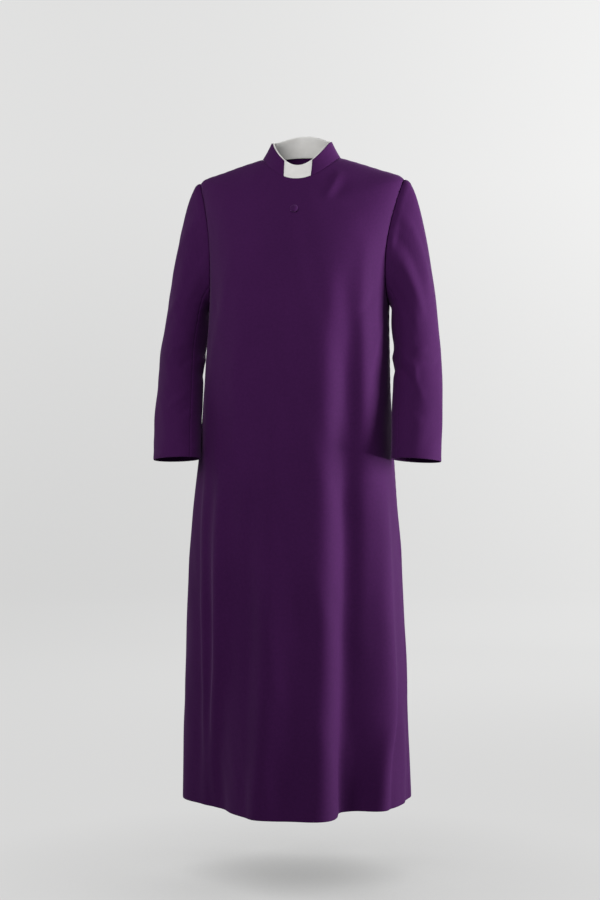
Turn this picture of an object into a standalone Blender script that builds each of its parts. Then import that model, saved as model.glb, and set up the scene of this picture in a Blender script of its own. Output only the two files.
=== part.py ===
# Cassock as worn: a hollow, ankle-length coat of thin cloth on a general standing figure.
# Metres, +Z up. The front faces -Y and the wearer's left is +X.
# The origin is the centre of the neck base, level with the tops of the shoulders.
import math

import bpy
import numpy as np

# ---- driving dimensions -------------------------------------------------------------------
CLOTH = 0.0015            # wall of every body and sleeve piece
GAP = 0.0003              # room left between two pieces at a seam
COLLAR_WALL = 0.0025      # collar band with its interlining
INSERT_WALL = 0.0010      # white band inside the collar
INSERT_RIM = 0.0030       # how far the white band stands above the collar
INSERT_CLEARANCE = 0.0008 # room between the white band and the collar
NOTCH_SEAM = 20.2         # collar band stops this many degrees from the centre front, at its seam
NOTCH_TOP = 27.6          # and at its top edge
BUTTON_RADIUS = 0.0085
BUTTON_HEIGHT = 0.0055
BUTTON_DROP = 0.126       # button below the origin
BUTTON_SIDES = 16
BUTTON_SEARCH_STEPS = 800 # fineness with which its place up the front is found
UNDERARM_HEIGHT = -0.325  # height of the lowest point of the armhole, one of the rings below
ARMHOLE_REACH = 23.0      # degrees by which the armhole cuts into the front and the back
ROUNDING = 0.028          # run over which neighbouring rings are averaged
UNDERLAP_COLUMNS = 17     # columns of the outer front that the underlap lies behind

FRONT_COLUMNS = 28
BACK_COLUMNS = 9
SKIRT_ROWS = 12
SHOULDER_ROWS = 3
SLEEVE_COLUMNS = 16
FOREARM_SEAM = 2          # sleeve column of the front seam
HINDARM_SEAM = 13         # sleeve column of the back seam

# Rings of the body, hem to neck. Each is measured where it crosses the side or the shoulder
# line: height and half-width there, depth in front and behind, how much lower the ring runs
# at the centre front and back, its squareness, and how far its middle leans to +X.
BODY_COLUMNS = ("height", "half_width", "front", "back", "front_drop", "back_drop", "square", "lean")
BODY_ROWS = (
    (-1.400, 0.2455, 0.2350, 0.2120, 0.011, 0.006, 0.06, -0.015),
    (-1.190, 0.2420, 0.2230, 0.1960, 0.005, 0.004, 0.06, -0.016),
    (-0.970, 0.2365, 0.2080, 0.1760, 0.000, 0.000, 0.07, -0.016),
    (-0.780, 0.2250, 0.1930, 0.1560, 0.000, 0.000, 0.08, -0.015),
    (-0.600, 0.2105, 0.1800, 0.1320, 0.000, 0.000, 0.10, -0.011),
    (-0.440, 0.2020, 0.1700, 0.1180, 0.000, 0.000, 0.12, -0.008),
    (-0.325, 0.1975, 0.1585, 0.1250, 0.000, 0.000, 0.13, -0.005),
    (-0.200, 0.2080, 0.1500, 0.1320, 0.030, 0.012, 0.08, -0.002),
    (-0.100, 0.2230, 0.1370, 0.1270, 0.068, 0.026, -0.06, 0.000),
    (-0.048, 0.2290, 0.1270, 0.1170, 0.090, 0.032, -0.22, 0.000),
    (-0.031, 0.1825, 0.1150, 0.1030, 0.079, 0.015, -0.18, 0.000),
    (-0.014, 0.1330, 0.1000, 0.0860, 0.070, 0.004, -0.10, 0.000),
    (0.000, 0.0860, 0.0830, 0.0680, 0.054, -0.012, 0.00, 0.000),
)
SHOULDER_TIP_ROW = 9      # row of BODY_ROWS at the outer end of the shoulder seam

# Large folds of the skirt: angle from the centre front towards +X, half-angle, how far the
# cloth moves out (+) or in (-) at the hem, height where it starts, and how late it grows:
# 1 is evenly on the way down, more is mostly near the hem.
FOLD_COLUMNS = ("angle", "spread", "at_hem", "start", "lateness")
FOLD_SHARPNESS = 1.2      # a fold reaches nearly nothing at twice its half-angle
FOLD_EASE = 0.15          # share of its fall over which a fold eases in
FOLD_ROWS = (
    (19.0, 10.0, 0.011, -0.20, 1.3),
    (35.5, 8.0, -0.030, -0.30, 0.8),
    (46.0, 9.5, -0.042, -0.80, 1.3),
    (60.0, 9.0, 0.014, -0.45, 0.8),
    (-46.0, 19.0, -0.050, -0.45, 1.5),
    (-72.0, 8.0, 0.008, -0.60, 1.2),
    (-103.0, 12.0, 0.012, -0.60, 1.2),
    (-130.0, 12.0, -0.034, -0.50, 1.4),
    (-156.0, 11.0, 0.016, -0.50, 1.2),
    (178.0, 10.0, -0.030, -0.48, 1.3),
    (153.0, 11.0, 0.014, -0.50, 1.2),
    (128.0, 13.0, -0.036, -0.52, 1.4),
    (101.0, 12.0, 0.010, -0.60, 1.2),
)

# Rings of each sleeve, cuff to just under the armhole: height, distance out from the middle
# plane, half-width seen from the front, distance towards the back, half-depth.
SLEEVE_COLUMN_NAMES = ("height", "out", "half_width", "back", "half_depth")
LEFT_SLEEVE_ROWS = (
    (-0.662, 0.2585, 0.0535, -0.090, 0.0560),
    (-0.560, 0.2575, 0.0535, -0.048, 0.0600),
    (-0.430, 0.2545, 0.0515, -0.003, 0.0665),
    (-0.370, 0.2500, 0.0500, 0.006, 0.0700),
)
RIGHT_SLEEVE_ROWS = (
    (-0.660, 0.2570, 0.0515, -0.108, 0.0560),
    (-0.560, 0.2633, 0.0502, -0.062, 0.0600),
    (-0.430, 0.2668, 0.0487, -0.008, 0.0665),
    (-0.370, 0.2605, 0.0470, 0.004, 0.0700),
)
SLEEVE_ROWS_BELOW = 8
SLEEVE_ROWS_CAP = 5
CUFF_TILT_OUT = -0.05     # the outer edge of the cuff hangs lower
CUFF_TILT_BACK = -0.10    # and so does its back edge
CUFF_TILT_REACH = 0.12    # height over which that tilt fades out
CAP_PULL_START = 1.05     # how far the cap keeps the arm's own direction, as a share of its length
CAP_PULL_UNDERARM = 0.90  # how far it keeps the direction it meets the armhole in, under the arm
CAP_PULL_SHOULDER = 0.32  # and at the shoulder
CAP_RISE = 0.66           # how steeply it climbs to the armhole under the arm
SEAM_OUT = GAP * 1.3      # the cap ends this far off the body's outer face
SEAM_IN = GAP * 0.7       # and this far inside the armhole's edge

# Collar, from its seam to its top edge: height at the front, side and back, and the top ring.
COLLAR_HEIGHT = {"front": 0.030, "side": 0.036, "back": 0.044}
COLLAR_TOP = {"half_width": 0.0665, "front": 0.0680, "back": 0.0560}
COLLAR_HOLLOW = 0.0008    # how far the band bends in half-way up
COLLAR_STEPS = 30
INSERT_STEPS = 36

PURPLE = (0.080, 0.021, 0.105, 1.0)
WHITE = (0.80, 0.79, 0.77, 1.0)

NORMAL_TURN = 0.05        # degrees to each side over which a body normal is measured
NORMAL_RUN = 0.001        # and metres up and down
NORMAL_STEP = 0.02        # rows or columns to each side for a sleeve normal
RING_WEIGHTS = ((-1.0, 1.0), (-0.5, 3.0), (0.0, 4.0), (0.5, 3.0), (1.0, 1.0))


# ---- small helpers ------------------------------------------------------------------------
def clear_scene():
    for item in list(bpy.data.objects):
        bpy.data.objects.remove(item, do_unlink=True)


def make_material(name, colour, roughness):
    material = bpy.data.materials.new(name)
    material.use_nodes = True
    shader = material.node_tree.nodes["Principled BSDF"]
    shader.inputs["Base Color"].default_value = colour
    shader.inputs["Roughness"].default_value = roughness
    shader.inputs["Metallic"].default_value = 0.0
    return material


def smooth_step(value):
    value = min(max(value, 0.0), 1.0)
    return value * value * (3.0 - 2.0 * value)


def spline_tables(rows, key):
    # Slopes of a smooth, non-overshooting curve through every column of a table.
    keys = np.array(key)
    values = np.array(rows)
    steps = np.diff(values, axis=0) / np.diff(keys)[:, None]
    slopes = np.zeros_like(values)
    slopes[0] = steps[0]
    slopes[-1] = steps[-1]
    for i in range(1, len(keys) - 1):
        same_way = steps[i - 1] * steps[i] > 0.0
        mean = 2.0 * steps[i - 1] * steps[i] / np.where(same_way, steps[i - 1] + steps[i], 1.0)
        slopes[i] = np.where(same_way, mean, 0.0)
    return keys, values, slopes


def spline_at(tables, key):
    keys, values, slopes = tables
    i = int(np.clip(np.searchsorted(keys, key) - 1, 0, len(keys) - 2))
    span = keys[i + 1] - keys[i]
    t = (key - keys[i]) / span
    near = (1.0 + 2.0 * t) * (1.0 - t) ** 2 * values[i] + t * t * (3.0 - 2.0 * t) * values[i + 1]
    turn = t * (1.0 - t) ** 2 * slopes[i] - t * t * (1.0 - t) * slopes[i + 1]
    return near + turn * span


# ---- body surface -------------------------------------------------------------------------
def body_runs():
    # Distance along the side and the shoulder line from the hem to each ring.
    runs = [0.0]
    for low, high in zip(BODY_ROWS, BODY_ROWS[1:]):
        runs.append(runs[-1] + math.hypot(high[0] - low[0], high[1] - low[1]))
    return runs


RUNS = body_runs()
BODY = spline_tables(BODY_ROWS, RUNS)
UNDERARM_RUN = RUNS[[row[0] for row in BODY_ROWS].index(UNDERARM_HEIGHT)]
TIP_RUN = RUNS[SHOULDER_TIP_ROW]
NECK_RUN = RUNS[-1]


def fold_offset(angle, height):
    # How far the folds move the cloth out at this angle and height.
    offset = 0.0
    for row in FOLD_ROWS:
        fold = dict(zip(FOLD_COLUMNS, row))
        turn = (angle - fold["angle"] + 180.0) % 360.0 - 180.0
        if height > fold["start"]:
            continue
        fall = (fold["start"] - height) / (fold["start"] - BODY_ROWS[0][0])
        grown = fall ** fold["lateness"] * smooth_step(fall / FOLD_EASE)
        offset += fold["at_hem"] * grown * math.exp(-0.5 * (turn / fold["spread"] * FOLD_SHARPNESS) ** 2)
    return offset


def raw_body_point(angle, run):
    # A point on the rings themselves: angle from the centre front, run up from the hem.
    ring = dict(zip(BODY_COLUMNS, spline_at(BODY, run)))
    turn = math.radians(angle)
    side, ahead = math.sin(turn), math.cos(turn)
    depth = ring["front"] if ahead > 0.0 else ring["back"]
    drop = ring["front_drop"] if ahead > 0.0 else ring["back_drop"]
    x = ring["half_width"] * side * (1.0 + ring["square"] * ahead * ahead)
    y = -depth * ahead * (1.0 + ring["square"] * side * side)
    z = ring["height"] - drop * ahead * ahead
    reach = 1.0 + fold_offset(angle, z) / math.hypot(x, y)
    return np.array((ring["lean"] + x * reach, y * reach, z))


def body_point(angle, run):
    # A point of the cloth's outer face: neighbouring rings are averaged, which rounds the form.
    reach = min(ROUNDING, run, NECK_RUN - run)
    if reach <= 0.0:
        return raw_body_point(angle, run)
    point = np.zeros(3)
    for step, weight in RING_WEIGHTS:
        point += raw_body_point(angle, run + step * reach) * weight
    return point / sum(weight for _, weight in RING_WEIGHTS)


def body_normal(angle, run):
    low, high = max(run - NORMAL_RUN, 0.0), min(run + NORMAL_RUN, NECK_RUN)
    across = body_point(angle + NORMAL_TURN, run) - body_point(angle - NORMAL_TURN, run)
    up = body_point(angle, high) - body_point(angle, low)
    normal = np.cross(across, up)
    return normal / np.linalg.norm(normal)


def armhole_angle(run):
    # Angle of the front edge of the armhole at this run, 90 where there is no armhole.
    share = (run - UNDERARM_RUN) / (TIP_RUN - UNDERARM_RUN)
    if share <= 0.0 or share >= 1.0:
        return 90.0
    return 90.0 - ARMHOLE_REACH * math.sqrt(1.0 - (2.0 * share - 1.0) ** 2)


def row_runs():
    # Rows of every body panel: the skirt, the armhole at the sleeve's own columns, the shoulder.
    skirt = [UNDERARM_RUN * i / SKIRT_ROWS for i in range(SKIRT_ROWS)]
    half = SLEEVE_COLUMNS // 2
    armhole = []
    for i in range(half + 1):
        share = (1.0 - math.cos(math.pi * i / half)) / 2.0
        armhole.append(UNDERARM_RUN + (TIP_RUN - UNDERARM_RUN) * share)
    shoulder = [TIP_RUN + (NECK_RUN - TIP_RUN) * (i + 1) / SHOULDER_ROWS for i in range(SHOULDER_ROWS)]
    return skirt + armhole + shoulder


def panel_grid(start_angle, end_angle, columns, first=0, last=None):
    # Outer points and normals of one panel between two edge angles (functions of the run).
    last = columns if last is None else last
    points, normals = [], []
    for run in row_runs():
        start, end = start_angle(run), end_angle(run)
        line, line_normals = [], []
        for i in range(first, last + 1):
            angle = start + (end - start) * i / columns
            line.append(body_point(angle, run))
            line_normals.append(body_normal(angle, run))
        points.append(line)
        normals.append(line_normals)
    return np.array(points), np.array(normals)


def trim_edges(points, distance):
    # Pull the four edges of a grid inwards along the cloth, which leaves the seam's gap.
    trimmed = points.copy()
    for edge, inner in ((0, 1), (-1, -2)):
        way = points[:, inner] - points[:, edge]
        trimmed[:, edge] += way / np.linalg.norm(way, axis=1)[:, None] * distance
    for edge, inner in ((0, 1), (-1, -2)):
        way = points[inner] - points[edge]
        trimmed[edge] += way / np.linalg.norm(way, axis=1)[:, None] * distance
    return trimmed


# ---- solids from grids --------------------------------------------------------------------
def shell_object(name, outer, inner, material, closed=False, mirrored_from=None):
    # A closed wall between two grids of rows by columns; closed joins the last column to the
    # first. From column mirrored_from on, quads are split along their other diagonal.
    rows, columns = outer.shape[0], outer.shape[1]
    count = rows * columns
    vertices = np.concatenate((outer.reshape(-1, 3), inner.reshape(-1, 3)))
    faces = []
    spans = columns if closed else columns - 1
    for r in range(rows - 1):
        for c in range(spans):
            d = (c + 1) % columns
            corner = [r * columns + c, r * columns + d, (r + 1) * columns + d, (r + 1) * columns + c]
            if mirrored_from is not None and c >= mirrored_from:
                corner = corner[1:] + corner[:1]
            faces.append((corner[0], corner[1], corner[2]))
            faces.append((corner[0], corner[2], corner[3]))
            faces.append((corner[2] + count, corner[1] + count, corner[0] + count))
            faces.append((corner[3] + count, corner[2] + count, corner[0] + count))
    for c in range(spans):
        d = (c + 1) % columns
        top = (rows - 1) * columns
        faces.append((d, c, c + count, d + count))
        faces.append((top + c, top + d, top + d + count, top + c + count))
    if not closed:
        for r in range(rows - 1):
            low, high = r * columns, (r + 1) * columns
            end = columns - 1
            faces.append((low, high, high + count, low + count))
            faces.append((high + end, low + end, low + end + count, high + end + count))
    mesh = bpy.data.meshes.new(name)
    mesh.from_pydata([tuple(v) for v in vertices], [], faces)
    mesh.update()
    mesh.shade_smooth()
    mesh.set_sharp_from_angle(angle=math.radians(50.0))
    mesh.materials.append(material)
    item = bpy.data.objects.new(name, mesh)
    bpy.context.collection.objects.link(item)
    return item


def body_panel(name, material, grid, set_back=0.0, mirrored_from=None):
    points, normals = grid
    outer = trim_edges(points, GAP / 2.0) - normals * set_back
    inner = outer - normals * CLOTH
    return shell_object(name, outer, inner, material, mirrored_from=mirrored_from)


# ---- sleeves ------------------------------------------------------------------------------
def sleeve_tables(rows):
    return spline_tables(rows, [row[0] for row in rows])


def armhole_point(side, column):
    # The armhole loop: underarm at column 0, front edge, shoulder tip half-way, back edge.
    turn = 2.0 * math.pi * column / SLEEVE_COLUMNS
    run = UNDERARM_RUN + (TIP_RUN - UNDERARM_RUN) * (1.0 - math.cos(turn)) / 2.0
    angle = 90.0 - ARMHOLE_REACH * math.sin(turn)
    point = body_point(side * angle, run)
    normal = body_normal(side * angle, run)
    return point, normal


def arm_ring_point(side, tables, height, column):
    ring = dict(zip(SLEEVE_COLUMN_NAMES, spline_at(tables, height)))
    turn = 2.0 * math.pi * column / SLEEVE_COLUMNS
    out = -ring["half_width"] * math.cos(turn)
    back = -ring["half_depth"] * math.sin(turn)
    cuff = 1.0 - smooth_step((height - tables[0][0]) / CUFF_TILT_REACH)
    tilt = (CUFF_TILT_OUT * out + CUFF_TILT_BACK * back) * cuff
    return np.array((side * (ring["out"] + out), ring["back"] + back, ring["height"] + tilt))


def sleeve_point(side, tables, row, column):
    # Rows run from the cuff (0) to the ring under the armhole, then over the cap to the armhole.
    top = tables[0][-1]
    if row <= SLEEVE_ROWS_BELOW:
        height = tables[0][0] + (top - tables[0][0]) * row / SLEEVE_ROWS_BELOW
        return arm_ring_point(side, tables, height, column)
    t = (row - SLEEVE_ROWS_BELOW) / SLEEVE_ROWS_CAP
    start = arm_ring_point(side, tables, top, column)
    below = tables[0][0] + (top - tables[0][0]) * (SLEEVE_ROWS_BELOW - 1) / SLEEVE_ROWS_BELOW
    along = start - arm_ring_point(side, tables, below, column)
    along /= np.linalg.norm(along)
    seam, normal = armhole_point(side, column)
    share = (1.0 - math.cos(2.0 * math.pi * column / SLEEVE_COLUMNS)) / 2.0
    middle = np.array((seam[0], 0.0, (UNDERARM_HEIGHT + BODY_ROWS[SHOULDER_TIP_ROW][0]) / 2.0))
    inwards = middle - seam
    inwards[0] = 0.0
    inwards /= np.linalg.norm(inwards)
    seam = seam + normal * SEAM_OUT + inwards * SEAM_IN
    chord = np.linalg.norm(seam - start)
    arrive = np.array((-side * (0.75 + 0.25 * share), 0.0, CAP_RISE * (1.0 - share)))
    arrive /= np.linalg.norm(arrive)
    pull_start = CAP_PULL_START * chord
    pull_end = (CAP_PULL_UNDERARM + (CAP_PULL_SHOULDER - CAP_PULL_UNDERARM) * share) * chord
    h00 = (1.0 + 2.0 * t) * (1.0 - t) ** 2
    h01 = t * t * (3.0 - 2.0 * t)
    h10 = t * (1.0 - t) ** 2
    h11 = -t * t * (1.0 - t)
    return h00 * start + h01 * seam + h10 * pull_start * along + h11 * pull_end * arrive


def sleeve_normal(side, tables, row, column):
    last = SLEEVE_ROWS_BELOW + SLEEVE_ROWS_CAP
    step = NORMAL_STEP
    low, high = max(row - step, 0.0), min(row + step, last)
    across = sleeve_point(side, tables, row, column + step) - sleeve_point(side, tables, row, column - step)
    up = sleeve_point(side, tables, high, column) - sleeve_point(side, tables, low, column)
    normal = np.cross(across, up) * side
    return normal / np.linalg.norm(normal)


def sleeve_panel(name, material, side, rows, first, last):
    tables = sleeve_tables(rows)
    points, normals = [], []
    for row in range(SLEEVE_ROWS_BELOW + SLEEVE_ROWS_CAP + 1):
        columns = range(first, last + 1)
        points.append([sleeve_point(side, tables, row, c) for c in columns])
        normals.append([sleeve_normal(side, tables, row, c) for c in columns])
    outer, normals = np.array(points), np.array(normals)
    for edge, inner in ((0, 1), (-1, -2)):
        way = outer[:, inner] - outer[:, edge]
        outer[:, edge] += way / np.linalg.norm(way, axis=1)[:, None] * GAP / 2.0
    if side < 0:
        outer, normals = outer[:, ::-1], normals[:, ::-1]
    return shell_object(name, outer, outer - normals * CLOTH, material)


# ---- collar -------------------------------------------------------------------------------
def collar_point(angle, share, extra=0.0):
    # share 0 is the neck seam and 1 the top edge; extra lifts the point further up the same way.
    turn = math.radians(angle)
    side, ahead = math.sin(turn), math.cos(turn)
    seam = body_point(angle, NECK_RUN)
    end = "front" if ahead > 0.0 else "back"
    height = COLLAR_HEIGHT["side"] + (COLLAR_HEIGHT[end] - COLLAR_HEIGHT["side"]) * ahead * ahead
    top = np.array((COLLAR_TOP["half_width"] * side, -COLLAR_TOP[end] * ahead, seam[2] + height))
    way = top - seam
    bow = -math.sin(math.pi * min(share, 1.0)) * COLLAR_HOLLOW
    flat = np.array((side, -ahead, 0.0))
    return seam + way * (share + extra / np.linalg.norm(way)) + flat * bow


def collar_normal(angle, share):
    across = collar_point(angle + 0.5, share) - collar_point(angle - 0.5, share)
    up = collar_point(angle, min(share + 0.05, 1.0)) - collar_point(angle, max(share - 0.05, 0.0))
    normal = np.cross(across, up)
    return normal / np.linalg.norm(normal)


def make_collar(material):
    lift = GAP * 1.5
    outer, normals = [], []
    for share in (0.0, 0.5, 1.0):
        notch = NOTCH_SEAM + (NOTCH_TOP - NOTCH_SEAM) * share
        angles = np.linspace(notch, 360.0 - notch, COLLAR_STEPS + 1)
        outer.append([collar_point(a, share, lift * (1.0 - share)) for a in angles])
        normals.append([collar_normal(a, share) for a in angles])
    outer, normals = np.array(outer), np.array(normals)
    return shell_object("collar", outer, outer - normals * COLLAR_WALL, material)


def make_collar_insert(material):
    angles = [360.0 * i / INSERT_STEPS for i in range(INSERT_STEPS)]
    rows = ((0.0, GAP * 2.0), (0.5, 0.0), (1.0, INSERT_RIM))
    set_in = COLLAR_WALL + INSERT_CLEARANCE
    outer = []
    for share, extra in rows:
        outer.append([collar_point(a, share, extra) - collar_normal(a, share) * set_in for a in angles])
    outer = np.array(outer)
    normals = np.array([[collar_normal(a, share) for a in angles] for share, _ in rows])
    return shell_object("collar_insert", outer, outer - normals * INSERT_WALL, material, closed=True)


# ---- button -------------------------------------------------------------------------------
def make_button(material):
    runs = np.linspace(UNDERARM_RUN, NECK_RUN, BUTTON_SEARCH_STEPS)
    run = next(r for r in runs if body_point(0.0, r)[2] > -BUTTON_DROP)
    centre = body_point(0.0, run)
    normal = body_normal(0.0, run)
    across = np.array((1.0, 0.0, 0.0))
    up = np.cross(normal, across)
    # Profile from the flat back to the crown, as a share of the radius and of the height.
    profile = ((0.72, 0.0), (1.0, 0.22), (0.98, 0.45), (0.74, 0.82), (0.36, 0.98))
    sides = BUTTON_SIDES
    vertices, faces = [], []
    for share, rise in profile:
        for i in range(sides):
            turn = 2.0 * math.pi * i / sides
            flat = across * math.cos(turn) + up * math.sin(turn)
            lift = normal * (GAP * 2.0 + BUTTON_HEIGHT * rise)
            vertices.append(tuple(centre + flat * BUTTON_RADIUS * share + lift))
    for ring in range(len(profile) - 1):
        for i in range(sides):
            j = (i + 1) % sides
            low, high = ring * sides, (ring + 1) * sides
            faces.append((low + i, low + j, high + j, high + i))
    faces.append(tuple(reversed(range(sides))))
    faces.append(tuple(range((len(profile) - 1) * sides, len(profile) * sides)))
    mesh = bpy.data.meshes.new("button")
    mesh.from_pydata(vertices, [], faces)
    mesh.update()
    mesh.shade_smooth()
    mesh.materials.append(material)
    item = bpy.data.objects.new("button", mesh)
    bpy.context.collection.objects.link(item)
    return item


# ---- the garment --------------------------------------------------------------------------
def left_front(run):
    return armhole_angle(run)


def right_front(run):
    return -armhole_angle(run)


def left_back(run):
    return 180.0 - armhole_angle(run)


def right_back(run):
    return 180.0 + armhole_angle(run)


def centre_back(run):
    return 180.0


def make_body(cloth):
    half = FRONT_COLUMNS // 2
    body_panel("front", cloth, panel_grid(right_front, left_front, FRONT_COLUMNS), mirrored_from=half)
    underlap = panel_grid(right_front, left_front, FRONT_COLUMNS, 0, UNDERLAP_COLUMNS)
    body_panel("front_under", cloth, underlap, set_back=CLOTH + GAP * 1.5, mirrored_from=half)
    body_panel("back_left", cloth, panel_grid(left_back, centre_back, BACK_COLUMNS))
    body_panel("back_right", cloth, panel_grid(centre_back, right_back, BACK_COLUMNS), mirrored_from=0)


def make_sleeves(cloth):
    for name, side, rows in (("left", 1, LEFT_SLEEVE_ROWS), ("right", -1, RIGHT_SLEEVE_ROWS)):
        sleeve_panel("sleeve_top_" + name, cloth, side, rows, FOREARM_SEAM, HINDARM_SEAM)
        sleeve_panel("sleeve_under_" + name, cloth, side, rows, HINDARM_SEAM, SLEEVE_COLUMNS + FOREARM_SEAM)


def main():
    clear_scene()
    cloth = make_material("purple_cloth", PURPLE, 0.8)
    white = make_material("white_band", WHITE, 0.5)
    make_body(cloth)
    make_sleeves(cloth)
    make_collar(cloth)
    make_collar_insert(white)
    make_button(cloth)


main()
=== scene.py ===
import math

import bpy
import numpy as np
from mathutils import Matrix, Vector


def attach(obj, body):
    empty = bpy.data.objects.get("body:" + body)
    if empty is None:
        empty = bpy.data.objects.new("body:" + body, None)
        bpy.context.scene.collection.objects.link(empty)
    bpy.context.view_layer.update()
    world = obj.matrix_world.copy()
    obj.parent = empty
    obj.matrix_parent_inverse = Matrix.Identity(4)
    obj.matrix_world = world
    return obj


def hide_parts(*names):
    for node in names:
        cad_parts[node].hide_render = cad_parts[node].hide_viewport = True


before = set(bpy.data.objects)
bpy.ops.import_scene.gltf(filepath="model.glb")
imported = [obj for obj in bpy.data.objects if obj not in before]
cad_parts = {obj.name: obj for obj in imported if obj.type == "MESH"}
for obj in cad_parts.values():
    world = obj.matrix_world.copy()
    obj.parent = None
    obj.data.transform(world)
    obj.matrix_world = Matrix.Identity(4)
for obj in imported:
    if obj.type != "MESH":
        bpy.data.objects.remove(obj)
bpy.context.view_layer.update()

# A cassock as worn, empty. Metres, +Z up, front towards -Y, the wearer's left towards +X.
# The origin is the middle of the neck base, level with the tops of the shoulders.

bpy.ops.object.select_all(action="DESELECT")  # the frame arrives selected


# Small helpers

def smoothStep(value):
    value = np.clip(value, 0.0, 1.0)
    return value * value * (3.0 - 2.0 * value)


def unit(vectors):
    return vectors / np.maximum(np.linalg.norm(vectors, axis=-1, keepdims=True), 1e-12)


def splineTables(keys, rows):
    # slopes of a smooth curve that doesn't overshoot, one for each column of a table
    keys, values = np.array(keys, float), np.array(rows, float)
    steps = np.diff(values, axis=0) / np.diff(keys)[:, None]
    slopes = np.zeros_like(values)
    slopes[0], slopes[-1] = steps[0], steps[-1]
    before, after = steps[:-1], steps[1:]
    sameWay = before * after > 0.0
    slopes[1:-1] = np.where(sameWay, 2.0 * before * after / np.where(sameWay, before + after, 1.0), 0.0)
    return keys, values, slopes


def splineAt(tables, key):
    keys, values, slopes = tables
    key = np.clip(np.asarray(key, float), keys[0], keys[-1])
    i = np.clip(np.searchsorted(keys, key) - 1, 0, len(keys) - 2)
    span = (keys[i + 1] - keys[i])[..., None]
    t = (key - keys[i])[..., None] / span
    near = (1.0 + 2.0 * t) * (1.0 - t) ** 2 * values[i] + t * t * (3.0 - 2.0 * t) * values[i + 1]
    turn = t * (1.0 - t) ** 2 * slopes[i] - t * t * (1.0 - t) * slopes[i + 1]
    return near + turn * span


def unevenness(across, along, seed, size, amount, waveCount=14):
    # a gentle waviness that no two places share, longer down the cloth than across it
    rng = np.random.default_rng(seed)
    total = np.zeros(np.broadcast(across, along).shape)
    for i in range(waveCount):
        step = size * (0.6 + 1.6 * rng.random())
        lean = rng.normal(0.0, 0.22)
        phase = rng.random() * 2.0 * math.pi
        total += np.sin(2.0 * math.pi * (across + lean * along) / step + phase
                        + 1.3 * np.sin(2.0 * math.pi * along / (step * 4.2) + phase * 3.0))
    return total * amount / math.sqrt(waveCount)


# The body of the cassock: rings from the hem to the neck

bodyCut = {
    "rounding": 0.028,     # neighbouring rings are averaged over this run
    "armholeReach": 23.0,  # degrees by which the armhole cuts into the front and the back
    "underarm": 6,         # ring at the bottom of the armhole
    "shoulderTip": 9,      # ring at its top
    # height, half width, depth in front, depth behind, drop in front, drop behind, squareness, lean
    "rings": (
        (-1.400, 0.2455, 0.2350, 0.2120, 0.011, 0.006, 0.06, -0.015),
        (-1.190, 0.2420, 0.2230, 0.1960, 0.005, 0.004, 0.06, -0.016),
        (-0.970, 0.2365, 0.2080, 0.1760, 0.000, 0.000, 0.07, -0.016),
        (-0.780, 0.2250, 0.1930, 0.1560, 0.000, 0.000, 0.08, -0.015),
        (-0.600, 0.2105, 0.1800, 0.1320, 0.000, 0.000, 0.10, -0.011),
        (-0.440, 0.2020, 0.1700, 0.1180, 0.000, 0.000, 0.12, -0.008),
        (-0.325, 0.1975, 0.1585, 0.1250, 0.000, 0.000, 0.13, -0.005),
        (-0.200, 0.2080, 0.1500, 0.1320, 0.030, 0.012, 0.08, -0.002),
        (-0.100, 0.2230, 0.1370, 0.1270, 0.068, 0.026, -0.06, 0.000),
        (-0.048, 0.2290, 0.1270, 0.1170, 0.090, 0.032, -0.22, 0.000),
        (-0.031, 0.1825, 0.1150, 0.1030, 0.079, 0.015, -0.18, 0.000),
        (-0.014, 0.1330, 0.1000, 0.0860, 0.070, 0.004, -0.10, 0.000),
        (0.000, 0.0860, 0.0830, 0.0680, 0.054, -0.012, 0.00, 0.000),
    ),
    # big folds: angle from the centre front, half angle, move out at the hem, start, how late it grows
    "folds": (
        (19, 10, 0.011, -0.2, 1.3), (35.5, 8, -0.03, -0.3, 0.8), (46, 9.5, -0.042, -0.8, 1.3),
        (60, 9, 0.014, -0.45, 0.8),
        (-46, 19, -0.05, -0.45, 1.5), (-72, 8, 0.008, -0.6, 1.2), (-103, 12, 0.012, -0.6, 1.2),
        (-130, 12, -0.034, -0.5, 1.4), (-156, 11, 0.016, -0.5, 1.2), (178, 10, -0.03, -0.48, 1.3),
        (153, 11, 0.014, -0.5, 1.2), (128, 13, -0.036, -0.52, 1.4), (101, 12, 0.01, -0.6, 1.2),
    ),
}
rings = np.array(bodyCut["rings"])
ringRuns = np.concatenate(([0.0], np.cumsum(np.hypot(np.diff(rings[:, 0]), np.diff(rings[:, 1])))))
bodyTables = splineTables(ringRuns, rings)
underarmRun = ringRuns[bodyCut["underarm"]]
tipRun = ringRuns[bodyCut["shoulderTip"]]
neckRun = ringRuns[-1]


def foldOffset(angle, height):
    offset = np.zeros(np.broadcast(angle, height).shape)
    for middle, spread, atHem, start, lateness in bodyCut["folds"]:
        turn = (angle - middle + 180.0) % 360.0 - 180.0
        fall = np.clip((start - height) / (start - rings[0, 0]), 0.0, None)
        grown = fall ** lateness * smoothStep(fall / 0.15)
        offset = offset + atHem * grown * np.exp(-0.5 * (turn / spread * 1.2) ** 2)
    return offset


def rawBodyPoint(angle, run):
    ring = np.moveaxis(splineAt(bodyTables, run), -1, 0)
    height, halfWidth, front, back, frontDrop, backDrop, square, lean = ring
    turn = np.radians(angle)
    side, ahead = np.sin(turn), np.cos(turn)
    depth = np.where(ahead > 0.0, front, back)
    drop = np.where(ahead > 0.0, frontDrop, backDrop)
    x = halfWidth * side * (1.0 + square * ahead * ahead)
    y = -depth * ahead * (1.0 + square * side * side)
    z = height - drop * ahead * ahead
    reach = 1.0 + foldOffset(angle, z) / np.hypot(x, y)
    return np.stack((lean + x * reach, y * reach, z), -1)


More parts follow.
